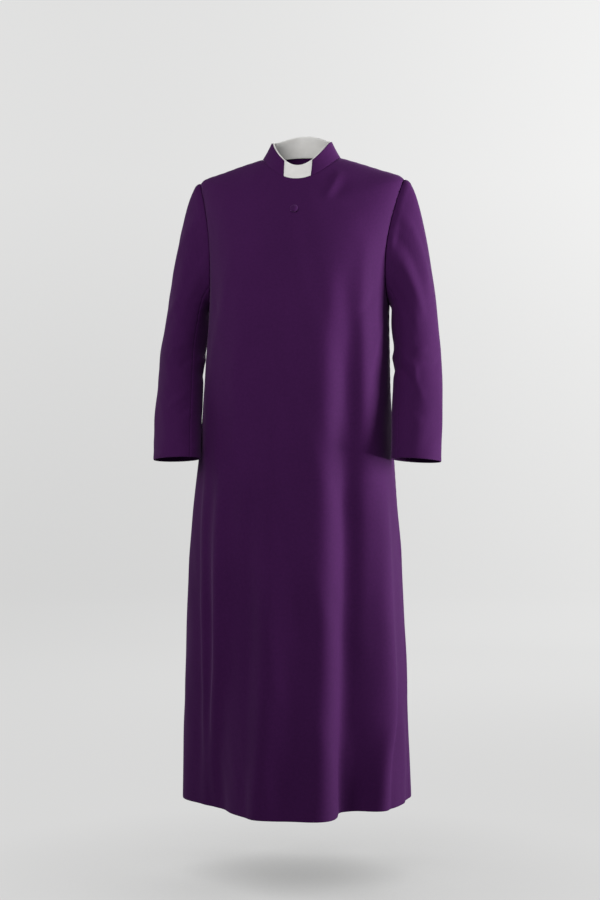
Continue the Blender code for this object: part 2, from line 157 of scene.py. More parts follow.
def bodyPoint(angle, run):
    reach = np.maximum(np.minimum(np.minimum(bodyCut["rounding"], run), neckRun - run), 0.0)
    point = 0.0
    for step, weight in ((-1.0, 1.0), (-0.5, 3.0), (0.0, 4.0), (0.5, 3.0), (1.0, 1.0)):
        point = point + rawBodyPoint(angle, run + step * reach) * weight / 12.0
    return point


def bodyNormal(angle, run):
    low, high = np.maximum(run - 0.001, 0.0), np.minimum(run + 0.001, neckRun)
    across = bodyPoint(angle + 0.05, run) - bodyPoint(angle - 0.05, run)
    up = bodyPoint(angle, high) - bodyPoint(angle, low)
    return unit(np.cross(across, up))


# Soft ridges (+) and troughs (-) down the body, each from its top to its bottom:
# height, angle, spread to its right and left in degrees, how far it stands out in metres
bodyCreases = {
    "mainCrest": (
        (-0.22, 24, 7, 10, 0), (-0.31, 22.5, 7, 10, 0.0032), (-0.41, 20.8, 7.5, 11, 0.0065),
        (-0.6, 20.2, 7.5, 11, 0.0088), (-0.8, 20, 7, 9, 0.0088), (-1.06, 20.8, 6, 7, 0.0074),
        (-1.25, 21.8, 5.5, 7, 0.006), (-1.41, 20.5, 6, 8, 0.0046)),
    "mainTrough": (
        (-0.24, 31, 5, 6, 0), (-0.32, 33.5, 5, 6, -0.0026), (-0.4, 36, 5.5, 7, -0.0036),
        (-0.6, 37, 5.5, 7, -0.0052), (-0.8, 37, 6, 6, -0.0074), (-1.06, 36, 7, 5.5, -0.008),
        (-1.25, 36.5, 8, 5.5, -0.008), (-1.41, 37.5, 8, 5, -0.006)),
    "lowDip": (
        (-1.12, 73, 4, 4, 0), (-1.22, 70, 5, 4, -0.005), (-1.33, 63.5, 6, 3, -0.0095),
        (-1.41, 62, 6, 3, -0.0095)),
    "sideCrest": (
        (-0.17, 46, 7, 7, 0), (-0.24, 45, 8, 6, 0.003), (-0.33, 45.5, 8, 5, 0.0048),
        (-0.44, 47.5, 8, 5, 0.0068), (-0.56, 48, 8, 5, 0.0056), (-0.68, 50, 9, 6, 0.0026),
        (-0.8, 52, 10, 8, 0)),
    "lowCrest": (
        (-0.7, 62, 8, 8, 0), (-0.84, 61.5, 6, 7, 0.005), (-0.97, 60, 6, 7, 0.006), (-1.09, 63, 5, 7, 0.0065),
        (-1.2, 65, 4.5, 6, 0.0065), (-1.28, 59.5, 4.5, 5, 0.007), (-1.41, 55.5, 5, 5, 0.008)),
    "hemFlick": (
        (-1.2, 80, 4, 5, 0), (-1.27, 79.5, 4, 6, 0.004), (-1.34, 78.5, 4, 6, 0.0055),
        (-1.41, 78, 4, 6, 0.0055)),
    "faintCrest": (
        (-1.22, 40.5, 3, 3, 0), (-1.3, 41, 3, 3, 0.0026), (-1.41, 42, 3, 3, 0.003)),
    "farChestCrest": (
        (-0.2, -40, 7, 7, 0), (-0.29, -43.5, 6, 6, 0.0026), (-0.38, -50.5, 6, 6, 0.0036),
        (-0.45, -54.5, 6, 6, 0.0032), (-0.58, -57, 6, 6, 0)),
    "farWaistCrest": (
        (-0.4, -33.5, 7, 5, 0), (-0.48, -32.5, 7, 5, 0.0024), (-0.56, -31.2, 7, 5, 0.0024),
        (-0.68, -30, 7, 5, 0)),
    "farEdgeCrest": (
        (-0.68, -55.5, 4, 3, 0), (-0.82, -54.5, 4, 3, 0.006), (-0.96, -53.2, 4, 2.4, 0.0084),
        (-1.12, -53.6, 4, 2.4, 0.009), (-1.29, -55.5, 4, 3, 0.0066), (-1.41, -57, 4, 4, 0.005)),
    "farCrest": (
        (-0.66, -39, 6, 4, 0), (-0.8, -40, 6, 5, 0.0085), (-0.96, -38, 6, 5.5, 0.0145),
        (-1.09, -39.5, 6, 5.5, 0.0155), (-1.2, -43.5, 6, 5, 0.0135), (-1.31, -48, 6, 5, 0.0085),
        (-1.41, -51, 5, 5, 0.004)),
    "farSide": (
        (-0.3, -97, 14, 12, 0), (-0.37, -97, 14, 12, 0.0015), (-0.46, -97, 14, 12, 0.002),
        (-0.54, -98, 12, 12, 0.0044), (-0.61, -98, 12, 12, 0.0034), (-0.72, -97, 14, 12, 0)),
    "farTrough": (
        (-0.7, -20, 5, 13, 0), (-0.86, -18.5, 5, 13, -0.0048), (-1.06, -17.5, 4.5, 13, -0.0066),
        (-1.27, -19, 4.5, 14, -0.0064), (-1.41, -20, 5, 14, -0.005)),
    "frontLowCrest": (
        (-0.88, -9, 10, 5, 0), (-1.04, -7.4, 10, 5, 0.009), (-1.22, -7.6, 9, 4.6, 0.012),
        (-1.34, -10.2, 9, 4.8, 0.011), (-1.41, -11.2, 9, 5, 0.008)),
    "frontLowTrough": (
        (-0.9, 8, 8, 9, 0), (-1.08, 8.5, 8, 9, -0.004), (-1.25, 8.5, 8, 9, -0.0052),
        (-1.41, 8.5, 8, 9, -0.0055)),
    "frontBroadCrest": (
        (-0.5, -6, 12, 9, 0), (-0.64, -5.5, 12, 8, 0.004), (-0.84, -4.5, 12, 8, 0.005),
        (-1, -5, 12, 8, 0.003), (-1.12, -6.5, 10, 8, 0)),
    # the back, of the same kind
    "backRidgeA": (
        (-0.4, 205, 6, 6, 0), (-0.52, 204, 6, 7, 0.0045), (-0.8, 202, 6, 7, 0.007),
        (-1.1, 203.5, 5, 7, 0.007), (-1.41, 204, 5, 7, 0.0065)),
    "backRidgeB": (
        (-0.44, 152, 6, 6, 0), (-0.6, 154, 6, 6, 0.005), (-0.9, 155.5, 6, 5, 0.008),
        (-1.2, 154, 6, 5, 0.0075), (-1.41, 152, 6, 5, 0.007)),
    "backTrough": (
        (-0.5, 190, 5, 5, 0), (-0.7, 189, 5, 5, -0.004), (-1.05, 188, 5, 5, -0.0055),
        (-1.41, 190, 5, 5, -0.0055)),
    "backRidgeC": (
        (-0.62, 236, 5, 5, 0), (-0.78, 235, 5, 5, 0.004), (-1.05, 233, 5, 5, 0.006),
        (-1.41, 232, 5, 5, 0.0055)),
    "backRidgeD": (
        (-0.66, 122, 5, 5, 0), (-0.82, 121, 5, 5, 0.0035), (-1.1, 118, 5, 6, 0.0055),
        (-1.41, 117, 5, 6, 0.0055)),
    "bladeLeft": (
        (-0.1, 138, 7, 7, 0), (-0.17, 137, 7, 7, 0.0022), (-0.27, 134, 7, 7, 0.003), (-0.38, 136, 7, 7, 0)),
    "bladeRight": (
        (-0.12, 224, 7, 7, 0), (-0.2, 226, 7, 7, 0.0026), (-0.3, 224, 7, 7, 0.0024), (-0.42, 222, 7, 7, 0)),
    "backWaist": (
        (-0.34, 182, 8, 8, 0), (-0.44, 178, 9, 9, -0.0035), (-0.56, 177, 9, 9, -0.0025), (-0.7, 178, 8, 8, 0)),
}

# Short slanting strokes: half width and rise in metres, then the angle and height of each point
bodyStrokes = (
    (0.007, 0.0032, 52, -0.034, 39, -0.06, 31.5, -0.079, 23, -0.1),
    (0.008, -0.0018, 47, -0.058, 36, -0.08, 27, -0.104),
    (0.011, 0.0012, -56, -0.032, -43, -0.06, -31, -0.105),
    (0.012, -0.0016, 61, -0.29, 52, -0.33, 41, -0.352),
    (0.012, -0.0014, -60, -0.3, -51, -0.345, -42, -0.372),
    (0.013, 0.0018, 70, -0.36, 60, -0.42, 52, -0.47),
    (0.013, 0.0016, -74, -0.42, -66, -0.5, -60, -0.58),
    (0.012, -0.0018, 126, -0.3, 140, -0.345, 152, -0.362),
    (0.012, -0.0018, 234, -0.29, 220, -0.338, 208, -0.356),
    (0.011, 0.0012, 150, -0.075, 166, -0.068, 184, -0.07),
)
strokeScale = 0.0035  # metres of cloth to a degree, near enough for a crease

# The faint waviness all over, in metres; its rise is smaller on the chest than on the loose skirt
bodyWaves = {"seed": 11, "size": 0.09, "rise": 0.0009, "depth": 0.17, "halfWidth": 0.23, "slant": 0.3,
             "onChest": 0.35, "looseFrom": -0.25, "looseOver": 0.6}


def strokeOffset(place, along, strokes, scale):
    across = place * scale
    offset = np.zeros(np.broadcast(across, along).shape)
    for halfWidth, rise, *points in strokes:
        points = np.reshape(points, (-1, 2)) * (scale, 1.0)
        lengths = np.linalg.norm(np.diff(points, axis=0), axis=1)
        total, passed = lengths.sum(), 0.0
        nearest = np.full(offset.shape, 1e9)
        share = np.zeros(offset.shape)
        for start, end, length in zip(points[:-1], points[1:], lengths):
            way = (end - start) / length
            t = np.clip((across - start[0]) * way[0] + (along - start[1]) * way[1], 0.0, length)
            gap = np.hypot(across - start[0] - way[0] * t, along - start[1] - way[1] * t)
            closer = gap < nearest
            nearest = np.where(closer, gap, nearest)
            share = np.where(closer, (passed + t) / total, share)
            passed += length
        taper = np.sin(math.pi * np.clip(share, 0.02, 0.98)) ** 0.7
        offset += rise * taper * np.exp(-((nearest / halfWidth) ** 2))
    return offset


def bodyCreaseOffset(angle, height):
    offset = np.zeros(np.broadcast(angle, height).shape)
    for rows in bodyCreases.values():
        rows = np.array(rows[::-1], float)
        middle, right, left, rise = np.moveaxis(splineAt(splineTables(rows[:, 0], rows[:, 1:]), height), -1, 0)
        rise = rise * (height < rows[-1, 0])
        turn = (angle - middle + 180.0) % 360.0 - 180.0
        spread = np.where(turn > 0.0, right, left)
        offset += rise * np.exp(-((turn / spread) ** 2))
    wrapped = (angle + 100.0) % 360.0 - 100.0
    offset += strokeOffset(wrapped, height, bodyStrokes, strokeScale)
    turn = np.radians(angle)
    waves = unevenness(np.cos(turn) * bodyWaves["depth"] + np.sin(turn) * bodyWaves["halfWidth"],
                       height + bodyWaves["slant"] * np.sin(turn), bodyWaves["seed"], bodyWaves["size"],
                       bodyWaves["rise"])
    looser = smoothStep((bodyWaves["looseFrom"] - height) / bodyWaves["looseOver"])
    return offset + waves * (bodyWaves["onChest"] + (1.0 - bodyWaves["onChest"]) * looser)


seamRoll = {"depth": 0.0008, "width": 0.0032, "pucker": 0.00028, "puckerStep": 0.021, "puckerReach": 0.016}


def seamDip(gap, along, seed):
    # cloth turns in at a pressed-open seam and puckers slightly beside it
    dip = seamRoll["depth"] * (1.0 - smoothStep(gap / seamRoll["width"]))
    wave = np.sin(2.0 * math.pi * along / seamRoll["puckerStep"] + 1.7 * np.sin(along * 31.0 + seed) + seed)
    near = np.exp(-((gap / seamRoll["puckerReach"]) ** 2))
    return -dip + seamRoll["pucker"] * wave * near


def armholeAngle(run):
    share = np.clip((run - underarmRun) / (tipRun - underarmRun), 0.0, 1.0)
    return 90.0 - bodyCut["armholeReach"] * np.sqrt(np.clip(1.0 - (2.0 * share - 1.0) ** 2, 0.0, 1.0))


# How far the cloth turns in at its finished edges, and over what length
edgeRoll = {"neck": (0.0008, 0.0040), "sleeveHead": (0.0008, 0.0030), "hem": (0.0006, 0.0025)}


def edgeTurn(kind, gap):
    depth, reach = edgeRoll[kind]
    return depth * (1.0 - smoothStep(gap / reach))


def addObject(name, data):
    piece = bpy.data.objects.new(name, data)
    bpy.context.collection.objects.link(piece)
    return piece


def applyModifier(piece, name, kind, **settings):
    modifier = piece.modifiers.new(name, kind)
    for key, value in settings.items():
        setattr(modifier, key, value)
    bpy.context.view_layer.objects.active = piece
    bpy.ops.object.modifier_apply(modifier=name)


def gridIndex(points):
    return np.arange(points.shape[0] * points.shape[1]).reshape(points.shape[:2])


def gridFaces(index):
    corners = (index[:-1, :-1], index[:-1, 1:], index[1:, 1:], index[1:, :-1])
    return np.stack(corners, -1).reshape(-1, 4)


shellFinish = {"bevelFrom": 50.0, "sharpFrom": 55.0, "hemFade": 0.003}  # degrees, degrees, metres


def gridObject(name, outer, uv, material, thickness, heavy=None, heavyFactor=1.0, bevel=0.0, closed=False):
    # rows by columns of points made into a sheet with a wall towards its inside;
    # a closed one has its last column on its first
    points, corners = outer, gridFaces(gridIndex(outer))
    faces = corners
    if closed:
        points = outer[:, :-1]
        index = gridIndex(points)
        faces = gridFaces(np.concatenate((index, index[:, :1]), axis=1))
    mesh = bpy.data.meshes.new(name)
    mesh.from_pydata(points.reshape(-1, 3).tolist(), [], faces.tolist())
    layer = mesh.uv_layers.new(name="cloth")
    layer.data.foreach_set("uv", uv.reshape(-1, 2)[corners.ravel()].astype(np.float32).ravel())
    mesh.shade_smooth()
    mesh.materials.append(material)
    piece = addObject(name, mesh)
    wall = {"thickness": thickness * heavyFactor, "offset": -1.0}
    if heavy is not None:
        group = piece.vertex_groups.new(name="heavy")
        weights = np.round(np.clip(heavy.ravel(), 0.0, 1.0), 2)
        for value in np.unique(weights[weights > 0.0]):
            group.add(np.nonzero(weights == value)[0].tolist(), float(value), "REPLACE")
        wall.update(vertex_group="heavy", thickness_vertex_group=1.0 / heavyFactor)
    applyModifier(piece, "wall", "SOLIDIFY", **wall)
    if bevel > 0.0:
        applyModifier(piece, "edge", "BEVEL", width=bevel, segments=2, limit_method="ANGLE",
                      angle_limit=math.radians(shellFinish["bevelFrom"]))
    piece.data.set_sharp_from_angle(angle=math.radians(shellFinish["sharpFrom"]))
    return piece


def edgeShares(width, count, steps):
    # shares of the way across for each row: fine steps at both edges, even ones between
    width = np.asarray(width)[:, None]
    near = np.array(steps)[None, :] / width
    middle = near[:, -1:] + (1.0 - 2.0 * near[:, -1:]) * np.linspace(0.0, 1.0, count)[None, 1:-1]
    return np.concatenate((near, middle, 1.0 - near[:, ::-1]), axis=1)


edgeSteps = (0.0, 0.0007, 0.0016, 0.0027, 0.0042, 0.0070)
bodyRows = {
    "skirt": 172, "armhole": 44, "shoulder": 26,
    "hemSteps": (0.0, 0.0008, 0.0020, 0.0040, 0.0070), "afterHem": 0.010,
    "neckSteps": (0.0045, 0.0028, 0.0015, 0.0006, 0.0), "beforeNeck": 0.007,
    "spans": 40,        # steps in which the way across a row is measured
    "creaseFade": 0.05,  # the creases die away over this run below the neck
}


def bodyRowRuns(scale=1.0):
    skirt = np.linspace(bodyRows["afterHem"], underarmRun, int(bodyRows["skirt"] * scale))[:-1]
    turn = np.linspace(0.0, math.pi, int(bodyRows["armhole"] * scale))
    armhole = underarmRun + (tipRun - underarmRun) * (1.0 - np.cos(turn)) / 2.0
    shoulder = np.linspace(tipRun, neckRun - bodyRows["beforeNeck"], int(bodyRows["shoulder"] * scale))[1:]
    neck = neckRun - np.array(bodyRows["neckSteps"])
    return np.concatenate((bodyRows["hemSteps"], skirt, armhole, shoulder, neck))


def bodyPanel(name, values, edges, material, seed):
    # each edge: an angle, and the share of the armhole's own angle that is added to it
    runs = bodyRowRuns(values.get("rowScale", 1.0))
    setBack = values.get("setBack", 0.0)
    start, end = (angle + share * armholeAngle(runs) for angle, share in edges)
    end = start + (end - start) * values.get("part", 1.0)
    spans = np.linspace(0.0, 1.0, bodyRows["spans"] + 1)
    coarse = bodyPoint(start[:, None] + (end - start)[:, None] * spans, runs[:, None])
    lengths = np.linalg.norm(np.diff(coarse, axis=1), axis=2)
    width = lengths.sum(axis=1)
    share = edgeShares(width, values["columns"], edgeSteps)
    passed = np.concatenate((np.zeros((len(runs), 1)), np.cumsum(lengths, axis=1)), axis=1) / width[:, None]
    even = np.array([np.interp(s, p, spans) for s, p in zip(share, passed)])
    even[:, 0], even[:, -1] = 0.0, 1.0
    angle = start[:, None] + (end - start)[:, None] * even
    run = np.broadcast_to(runs[:, None], angle.shape)
    point, normal = bodyPoint(angle, run), bodyNormal(angle, run)
    height = point[..., 2]
    offset = bodyCreaseOffset(angle, height) * smoothStep((neckRun - run) / bodyRows["creaseFade"])
    gapStart, gapEnd = share * width[:, None], (1.0 - share) * width[:, None]
    if setBack == 0.0:
        offset = offset + (seamDip(gapStart, run, seed) + seamDip(gapEnd, run, seed + 2.0))
    offset = offset - edgeTurn("neck", neckRun - run)
    offset = offset - edgeTurn("hem", run) - setBack
    outer = point + normal * offset[..., None]
    uv = np.stack((gapStart - width[:, None] / 2.0, run), -1)
    heavy = 1.0 - smoothStep((run - values["hem"]) / shellFinish["hemFade"])
    return gridObject(name, outer, uv, material, values["thickness"], heavy, values["hemFactor"])


# Sleeves: rings from the cuff to just under the armhole, then a cap that meets the armhole

sleeveCut = {
    "columns": 16,  # column 0 is under the arm, 4 in front, 8 outside, 12 behind
    "rowsBelow": 8, "rowsCap": 5, "frontSeam": 2, "backSeam": 13,
    "tiltOut": -0.05, "tiltBack": -0.10,
    "seamLift": {"off": 0.00039, "inwards": 0.00021},
    "leave": 1.05,              # how strongly the cap goes on in the sleeve's own direction
    "arrive": (0.9, 0.58),      # how strongly it comes into the seam: under the arm, less this on top
    "aim": (0.75, 0.25, 0.66),  # its direction there: inwards, more so on top, and up under the arm
    "cuffSteps": (0.0, 0.0008, 0.0020, 0.0040), "afterCuff": 0.0070,   # metres above the cuff
    "beforeHead": 0.18, "headSteps": (0.12, 0.075, 0.04, 0.018, 0.0),  # rows before the armhole seam
    "headRoll": (0.011, 0.009, -0.30, 0.10),  # place below the seam, half width, height from, over
    "creaseFades": (0.030, 0.012),            # below the armhole seam, above the cuff
    "waves": (0.06, 0.0009),                  # size and rise of the faint waviness
    # height, distance out, half width, distance back, half depth
    "left": (
        (-0.662, 0.2585, 0.0535, -0.090, 0.0560),
        (-0.560, 0.2575, 0.0535, -0.048, 0.0600),
        (-0.430, 0.2545, 0.0515, -0.003, 0.0665),
        (-0.370, 0.2500, 0.0500, 0.006, 0.0700),
    ),
    "right": (
        (-0.660, 0.2570, 0.0515, -0.108, 0.0560),
        (-0.560, 0.2633, 0.0502, -0.062, 0.0600),
        (-0.430, 0.2668, 0.0487, -0.008, 0.0665),
        (-0.370, 0.2605, 0.0470, 0.004, 0.0700),
    ),
}

# Creases of each sleeve: half width and rise in metres, then the column and height of each point
sleeveStrokes = {
    "left": (
        (0.018, 0.004, 0.5, -0.322, 0.5, -0.36, 0.4, -0.41),
        (0.01, 0.0036, 5, -0.1, 5.7, -0.17, 6.3, -0.25, 6.2, -0.33),
        (0.009, -0.0028, 4, -0.15, 4.9, -0.22, 5.6, -0.29),
        (0.011, 0.0036, 3.2, -0.178, 4.6, -0.29, 5.4, -0.365),
        (0.012, -0.0024, 2, -0.255, 3.4, -0.35, 4.2, -0.4),
        (0.009, 0.0036, 2.2, -0.425, 3.9, -0.464, 3.9, -0.497, 5, -0.536),
        (0.008, -0.0032, 1.6, -0.452, 3.1, -0.482, 4.4, -0.52),
        (0.008, 0.0024, 3.6, -0.427, 5.4, -0.425),
        (0.009, -0.0022, 4.6, -0.448, 6.2, -0.458, 7.6, -0.44),
        (0.01, 0.0018, 3, -0.56, 4.8, -0.585),
        (0.01, 0.0036, -1.5, -0.42, 0.2, -0.44, 1.6, -0.432),
        (0.009, -0.0034, -2.4, -0.455, -0.6, -0.472, 1.4, -0.466),
        (0.014, -0.0026, 9.5, -0.415, 11, -0.44, 12.6, -0.43),
        (0.014, 0.0026, 10, -0.475, 11.6, -0.5, 13, -0.49),
        (0.014, -0.0024, 10.5, -0.2, 11.6, -0.28, 12.4, -0.34),
        (0.014, 0.0018, 6.8, -0.5, 7.4, -0.59, 7.2, -0.65),
    ),
    "right": (
        (0.02, 0.0055, -0.5, -0.325, -0.5, -0.375, -0.5, -0.436),
        (0.008, 0.0036, 2.4, -0.515, 3.7, -0.532, 4.6, -0.552),
        (0.008, -0.0024, 2, -0.545, 3.4, -0.562),
        (0.011, 0.0028, 5.2, -0.11, 6, -0.19, 6.6, -0.27),
        (0.012, 0.0026, 4.6, -0.3, 5.6, -0.336, 6.4, -0.38),
        (0.013, 0.002, 2.6, -0.2, 3.6, -0.3, 4.2, -0.37),
        (0.01, -0.0024, 2.2, -0.44, 3.8, -0.462, 5.2, -0.45),
        (0.009, 0.0022, 3.2, -0.41, 4.8, -0.424),
        (0.01, 0.0034, -1.8, -0.425, 0, -0.446, 1.5, -0.436),
        (0.009, -0.002, -2.3, -0.46, -0.4, -0.478, 1.2, -0.47),
        (0.016, 0.0012, -0.5, -0.462, -0.5, -0.5, -0.5, -0.56),
        (0.014, -0.0026, 9.3, -0.425, 10.8, -0.446, 12.8, -0.436),
        (0.013, 0.0024, 10.2, -0.485, 11.8, -0.508, 13, -0.5),
        (0.014, -0.0022, 10.4, -0.19, 11.4, -0.27, 12.6, -0.33),
        (0.014, 0.0016, 6.6, -0.52, 7.1, -0.6, 7, -0.65),
    ),
}
columnStep = 0.0225  # metres of sleeve to a column


def columnTurn(column):
    return 2.0 * math.pi * column / sleeveCut["columns"]


def armholePoint(side, column):
    turn = columnTurn(column)
    run = underarmRun + (tipRun - underarmRun) * (1.0 - np.cos(turn)) / 2.0
    angle = side * (90.0 - bodyCut["armholeReach"] * np.sin(turn))
    return bodyPoint(angle, run), bodyNormal(angle, run)


def armRingPoint(side, tables, height, column):
    ring = np.moveaxis(splineAt(tables, height), -1, 0)
    middleHeight, reachOut, halfWidth, reachBack, halfDepth = ring
    turn = columnTurn(column)
    out, back = -halfWidth * np.cos(turn), -halfDepth * np.sin(turn)
    cuff = 1.0 - smoothStep((height - tables[0][0]) / 0.12)
    tilt = (sleeveCut["tiltOut"] * out + sleeveCut["tiltBack"] * back) * cuff
    return np.stack((side * (reachOut + out), reachBack + back, middleHeight + tilt), -1)


def sleevePoint(side, tables, row, column):
    low, top = tables[0][0], tables[0][-1]
    below = sleeveCut["rowsBelow"]
    height = low + (top - low) * np.minimum(row / below, 1.0)
    ringPoint = armRingPoint(side, tables, height, column)
    t = np.clip((row - below) / sleeveCut["rowsCap"], 0.0, 1.0)[..., None]
    start = armRingPoint(side, tables, np.full_like(column, top), column)
    along = unit(start - armRingPoint(side, tables, np.full_like(column, top - 0.03), column))
    seam, normal = armholePoint(side, column)
    share = (1.0 - np.cos(columnTurn(column)))[..., None] / 2.0
    middleHeight = (rings[bodyCut["underarm"], 0] + rings[bodyCut["shoulderTip"], 0]) / 2.0
    inwards = unit(np.array((0.0, 0.0, middleHeight)) - seam * np.array((0.0, 1.0, 1.0)))
    lift = sleeveCut["seamLift"]
    seam = seam + normal * lift["off"] + inwards * lift["inwards"]
    chord = np.linalg.norm(seam - start, axis=-1, keepdims=True)
    inward, outside, rise = sleeveCut["aim"]
    arrive = unit(np.concatenate((-side * (inward + outside * share), 0.0 * share, rise * (1.0 - share)), -1))
    pull, less = sleeveCut["arrive"]
    cap = ((1.0 + 2.0 * t) * (1.0 - t) ** 2 * start + t * t * (3.0 - 2.0 * t) * seam
           + t * (1.0 - t) ** 2 * sleeveCut["leave"] * chord * along
           - t * t * (1.0 - t) * (pull - less * share) * chord * arrive)
    return np.where((row <= below)[..., None], ringPoint, cap)


def sleevePanel(name, sideName, first, last, values, material, seed):
    side = 1.0 if sideName == "left" else -1.0
    rows = np.array(sleeveCut[sideName])
    tables = splineTables(rows[:, 0], rows)
    below = sleeveCut["rowsBelow"]
    lastRow = below + sleeveCut["rowsCap"]
    rowStep = (rows[-1, 0] - rows[0, 0]) / below
    cuffRows = np.array(sleeveCut["cuffSteps"]) / rowStep
    belowRows = np.linspace(sleeveCut["afterCuff"] / rowStep, below, values["rowsBelow"])
    capShares = np.linspace(0.0, 1.0, values["rowsCap"])[1:]
    capRows = below + capShares * (lastRow - sleeveCut["beforeHead"] - below)
    headRows = lastRow - np.array(sleeveCut["headSteps"])
    rowList = np.concatenate((cuffRows, belowRows, capRows, headRows))
    width = np.full(len(rowList), (last - first) * columnStep)
    share = edgeShares(width, values["columns"], edgeSteps)
    column = first + (last - first) * share
    row = np.broadcast_to(rowList[:, None], column.shape)
    point = sleevePoint(side, tables, row, column)
    across = sleevePoint(side, tables, row, column + 0.02) - sleevePoint(side, tables, row, column - 0.02)
    high, low = np.minimum(row + 0.02, lastRow), np.maximum(row - 0.02, 0.0)
    up = sleevePoint(side, tables, high, column) - sleevePoint(side, tables, low, column)
    normal = unit(np.cross(across, up) * side)
    height = point[..., 2]
    lengths = np.linalg.norm(np.diff(point, axis=0), axis=-1)
    toHead = np.concatenate((np.cumsum(lengths[::-1], axis=0)[::-1], np.zeros((1, column.shape[1]))))
    toCuff = toHead[:1] - toHead
    wrapped = (column + 3.0) % sleeveCut["columns"] - 3.0
    belowHead, aboveCuff = sleeveCut["creaseFades"]
    settle = smoothStep(toHead / belowHead) * smoothStep(toCuff / aboveCuff)
    around, (size, waveRise) = columnTurn(column), sleeveCut["waves"]
    waves = unevenness(np.cos(around) * size, height + size * np.sin(around), seed, size, waveRise)
    offset = strokeOffset(wrapped, height, sleeveStrokes[sideName], columnStep) * settle + waves * settle
    seamsOffset = (seamDip(share * width[:, None], height, seed)
                   + seamDip((1.0 - share) * width[:, None], height, seed + 2.0))
    # the sleeve head stands up a little before it goes down into its seam
    rollPlace, rollWidth, rollFrom, rollOver = sleeveCut["headRoll"]
    head = values["headRise"] * np.exp(-(((toHead - rollPlace) / rollWidth) ** 2))
    head = head * smoothStep((height - rollFrom) / rollOver)
    offset = offset + seamsOffset + head - edgeTurn("sleeveHead", toHead) - edgeTurn("hem", toCuff)
    outer = point + normal * offset[..., None]
    uv = np.stack((share * width[:, None], -toHead), -1)
    heavy = 1.0 - smoothStep((toCuff - values["hem"]) / shellFinish["hemFade"])
    if side < 0.0:
        outer, uv, heavy = outer[:, ::-1], uv[:, ::-1], heavy[:, ::-1]
    return gridObject(name, outer, uv, material, values["thickness"], heavy, values["hemFactor"])


# Finishes

waveScale = 0.3142  # a wave texture of this scale repeats once in a metre


def setInputs(node, values):
    # each value is a constant, or another node's output to be linked in
    for name, value in values.items():
        if isinstance(value, bpy.types.NodeSocket):
            node.id_data.links.new(value, node.inputs[name])
        else:
            node.inputs[name].default_value = value
    return node


def addNode(tree, kind, inputs=None, **settings):
    node = tree.nodes.new(kind)
    for name, value in settings.items():
        setattr(node, name, value)
    return setInputs(node, inputs or {}).outputs


def newMaterial(name):
    material = bpy.data.materials.new(name)
    material.use_nodes = True
    return material, material.node_tree, material.node_tree.nodes["Principled BSDF"]


def calculate(tree, operation, *values):
    return addNode(tree, "ShaderNodeMath", dict(enumerate(values)), operation=operation)["Value"]


def spreadOver(tree, source, low, high, start=0.0, end=1.0, form="LINEAR"):
    # what goes from start to end at the source comes out from low to high
    ends = {"Value": source, "From Min": start, "From Max": end, "To Min": low, "To Max": high}
    return addNode(tree, "ShaderNodeMapRange", ends, interpolation_type=form)["Result"]


def noise(tree, source, scale, detail, roughness=0.5):
    inputs = {"Vector": source, "Scale": scale, "Detail": detail, "Roughness": roughness}
    return addNode(tree, "ShaderNodeTexNoise", inputs)["Fac"]


def weaveLines(tree, source, step, direction, distortion, detail, detailScale):
    inputs = {"Vector": source, "Scale": waveScale / step, "Distortion": distortion, "Detail": detail,
              "Detail Scale": detailScale}
    return addNode(tree, "ShaderNodeTexWave", inputs, wave_type="BANDS", bands_direction=direction)["Fac"]


def clothSurface(tree, shader, values, tone, yarn, relief):
    # colour from the tone, roughness from the yarn and bump from the relief
    ramp = tree.nodes.new("ShaderNodeValToRGB")
    for element, (position, tint) in zip(ramp.color_ramp.elements, values["tones"]):
        element.position, element.color = position, tint
    setInputs(ramp, {"Fac": tone})
    bump = addNode(tree, "ShaderNodeBump", {"Height": relief, "Strength": values["bump"],
                                            "Distance": values["bumpDepth"]})
    setInputs(shader, {"Base Color": ramp.outputs["Color"], "Normal": bump["Normal"],
                       "Roughness": spreadOver(tree, yarn, *values["roughness"])})


twillFinish = {
    # place on the tone's scale and colour
    "tones": ((0.30, (0.0350, 0.0056, 0.0490, 1.0)), (0.85, (0.0510, 0.0084, 0.0695, 1.0))),
    "twillStep": 0.0011,            # metres from one twill line to the next
    "twillTurn": 63.0,              # degrees from the weft
    "twillDrift": (0.6, 1.0, 0.6),  # distortion, detail and its scale
    "yarn": (620.0, 3.0, 0.6), "yarnStretch": (1.0, 0.35, 1.0),
    "melange": (150.0, 2.0, 0.7), "broad": (5.0, 3.0, 0.55),
    "shares": {"melange": 0.55, "broad": 0.45, "lines": 0.16, "relief": 0.6},
    "roughness": (0.74, 0.88),
    "bump": 0.35, "bumpDepth": 0.00012,
    "sheen": 0.10, "sheenRoughness": 0.42,
    "sheenTint": (0.78, 0.42, 0.95, 1.0),
    "specular": 0.07,
}


